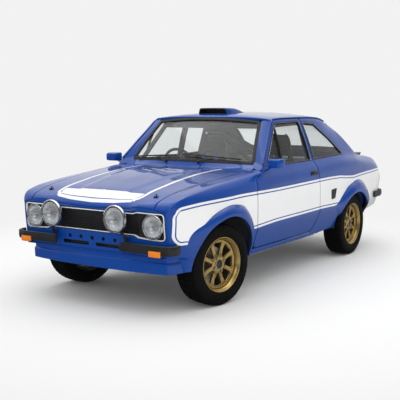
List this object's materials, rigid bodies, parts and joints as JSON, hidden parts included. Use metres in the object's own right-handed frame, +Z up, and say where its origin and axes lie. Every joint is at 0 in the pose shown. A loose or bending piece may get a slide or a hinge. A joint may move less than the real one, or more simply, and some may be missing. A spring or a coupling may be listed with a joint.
{
  "type": "rally car",
  "caption": "Two-door rally saloon with flared arches, roof vent, spot lamps, roll cage, opening doors, bonnet and boot, steering front wheels and rolling wheels.",
  "frame": {"origin": "on the floor, midway between the outermost faces of the car", "axes": "+Z up, the car faces -Y, +X is the car's left side"},
  "size_m": [1.78, 4.041, 1.449],
  "materials": {
    "body_paint": "gloss blue with white bands",
    "inner_paint": "satin grey primer",
    "glass": "clear safety glass",
    "grille_black": "satin black",
    "lamp": "polished lamp",
    "bumper_black": "satin black",
    "amber": "amber lens",
    "red_lens": "red lens",
    "spoiler_grey": "satin dark grey",
    "rim_gold": "satin gold",
    "tyre": "black rubber",
    "cage": "dark grey",
    "seat_fabric": "black cloth",
    "dash_black": "flocked black",
    "wheel_suede": "black suede",
    "cast_engine": "cast",
    "radiator_core": "black finned core",
    "chassis_steel": "satin black",
    "exhaust_steel": "brushed"
  },
  "bodies": {
    "root": {"air_dam": "body_paint", "bulkhead": "body_paint", "crossmember": "chassis_steel", "dashboard": "dash_black", "driveline": "cast_engine", "engine": "cast_engine", "exhaust": "exhaust_steel", "floorpan": "inner_paint", "front_bumpers": "bumper_black", "front_panel": "body_paint", "front_wing_left": "body_paint", "front_wing_right": "body_paint", "grille": "grille_black", "headlamps": "lamp", "indicators": "amber", "inner_wings": "inner_paint", "quarter_windows": "glass", "radiator": "radiator_core", "rear_axle": "chassis_steel", "rear_bumpers": "bumper_black", "rear_deck": "body_paint", "rear_panel": "body_paint", "rear_quarter_left": "body_paint", "rear_quarter_right": "body_paint", "rear_springs": "chassis_steel", "rear_window": "glass", "roll_cage": "cage", "roof": "body_paint", "roof_vent": "body_paint", "seat_left": "seat_fabric", "seat_right": "seat_fabric", "spot_lamps": "lamp", "tail_lamps": "red_lens", "wheelhouses": "inner_paint", "windscreen": "glass", "windscreen_frame": "body_paint"},
    "door_left": {"door_left": "body_paint", "door_glass_left": "glass", "mirror_left": "body_paint"},
    "door_right": {"door_right": "body_paint", "door_glass_right": "glass", "mirror_right": "body_paint"},
    "bonnet": {"bonnet": "body_paint"},
    "boot_lid": {"boot_lid": "body_paint", "spoiler": "spoiler_grey"},
    "knuckle_left": {"knuckle_left": "chassis_steel"},
    "knuckle_right": {"knuckle_right": "chassis_steel"},
    "wheel_front_left": {"rim_front_left": "rim_gold", "tyre_front_left": "tyre"},
    "wheel_front_right": {"rim_front_right": "rim_gold", "tyre_front_right": "tyre"},
    "wheel_rear_left": {"rim_rear_left": "rim_gold", "tyre_rear_left": "tyre"},
    "wheel_rear_right": {"rim_rear_right": "rim_gold", "tyre_rear_right": "tyre"},
    "steering_wheel": {"steering_wheel": "wheel_suede"}
  },
  "joints": [
    {"name": "door_left_hinge", "type": "hinge", "parent": "root", "child": "door_left", "pos_m": [0.758, -0.8965, 0.675], "axis": [0, 0, -1], "range_deg": [0, 62]},
    {"name": "door_right_hinge", "type": "hinge", "parent": "root", "child": "door_right", "pos_m": [-0.758, -0.8965, 0.675], "axis": [0, 0, 1], "range_deg": [0, 62]},
    {"name": "bonnet_hinge", "type": "hinge", "parent": "root", "child": "bonnet", "pos_m": [0, -0.7245, 0.934], "axis": [-1, 0, 0], "range_deg": [0, 50]},
    {"name": "boot_lid_hinge", "type": "hinge", "parent": "root", "child": "boot_lid", "pos_m": [0, 1.4235, 0.958], "axis": [1, 0, 0], "range_deg": [0, 50]},
    {"name": "steer_left", "type": "hinge", "parent": "root", "child": "knuckle_left", "pos_m": [0.53, -1.2925, 0.305], "axis": [0, 0, 1], "range_deg": [-20, 40]},
    {"name": "steer_right", "type": "hinge", "parent": "root", "child": "knuckle_right", "pos_m": [-0.53, -1.2925, 0.305], "axis": [0, 0, 1], "range_deg": [-20, 40]},
    {"name": "steering_wheel_turn", "type": "hinge", "parent": "root", "child": "steering_wheel", "pos_m": [-0.35, -0.3195, 0.904], "axis": [0, 0.9272, 0.3746], "range_deg": [-280, 560]},
    {"name": "spin_front_left", "type": "hinge", "parent": "knuckle_left", "child": "wheel_front_left", "pos_m": [0.65606, -1.31473, 0.305], "axis": [0.9848, -0.1736, 0], "continuous": true},
    {"name": "spin_front_right", "type": "hinge", "parent": "knuckle_right", "child": "wheel_front_right", "pos_m": [-0.65606, -1.27027, 0.305], "axis": [0.9848, -0.1736, 0], "continuous": true},
    {"name": "spin_rear_left", "type": "hinge", "parent": "root", "child": "wheel_rear_left", "pos_m": [0.682, 1.0955, 0.305], "axis": [1, 0, 0], "continuous": true},
    {"name": "spin_rear_right", "type": "hinge", "parent": "root", "child": "wheel_rear_right", "pos_m": [-0.682, 1.0955, 0.305], "axis": [1, 0, 0], "continuous": true}
  ],
  "couplings": [
    {"joint": "steer_right", "follows": "steer_left", "ratio": 1},
    {"joint": "steering_wheel_turn", "follows": "steer_left", "ratio": 14}
  ]
}
